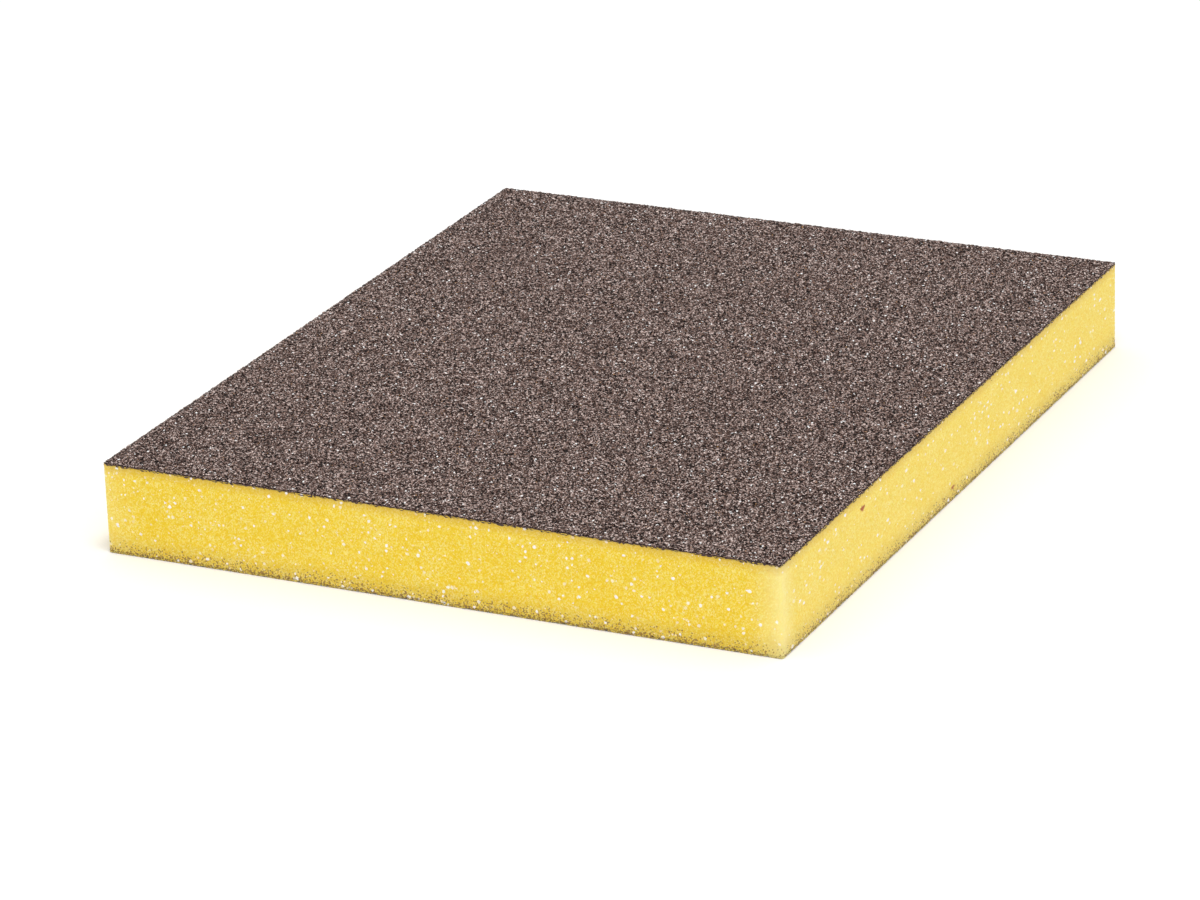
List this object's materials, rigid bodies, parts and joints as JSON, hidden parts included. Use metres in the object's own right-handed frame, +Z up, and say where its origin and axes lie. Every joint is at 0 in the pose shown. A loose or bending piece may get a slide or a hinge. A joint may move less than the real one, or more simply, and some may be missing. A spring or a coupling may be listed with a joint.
{
  "type": "sanding block",
  "caption": "Flat flexible sanding pad: a yellow foam sheet with a brown aluminium oxide grit coat bonded to both large faces, its foam springing back after a press.",
  "frame": {"origin": "middle of the lower abrasive face, which the pad rests on", "axes": "+Z up through the thickness, +Y along the 120 mm length, +X across the 98 mm width"},
  "size_m": [0.098, 0.12, 0.013],
  "materials": {
    "foam": "matte",
    "make_resin": "matte",
    "grit": "satin",
    "size_resin": "satin"
  },
  "bodies": {
    "foam_and_lower_face": {"foam_core": "foam", "lower_make_coat": "make_resin", "lower_grit_layer": "grit", "lower_size_coat": "size_resin"},
    "upper_face": {"upper_make_coat": "make_resin", "upper_grit_layer": "grit", "upper_size_coat": "size_resin"}
  },
  "joints": [
    {"name": "press_down", "type": "slide", "parent": "foam_and_lower_face", "child": "upper_face", "axis": [0, 0, -1], "range_m": [0, 0.005], "stiffness_N_per_m": 12000, "deforming": ["foam_core"]}
  ]
}
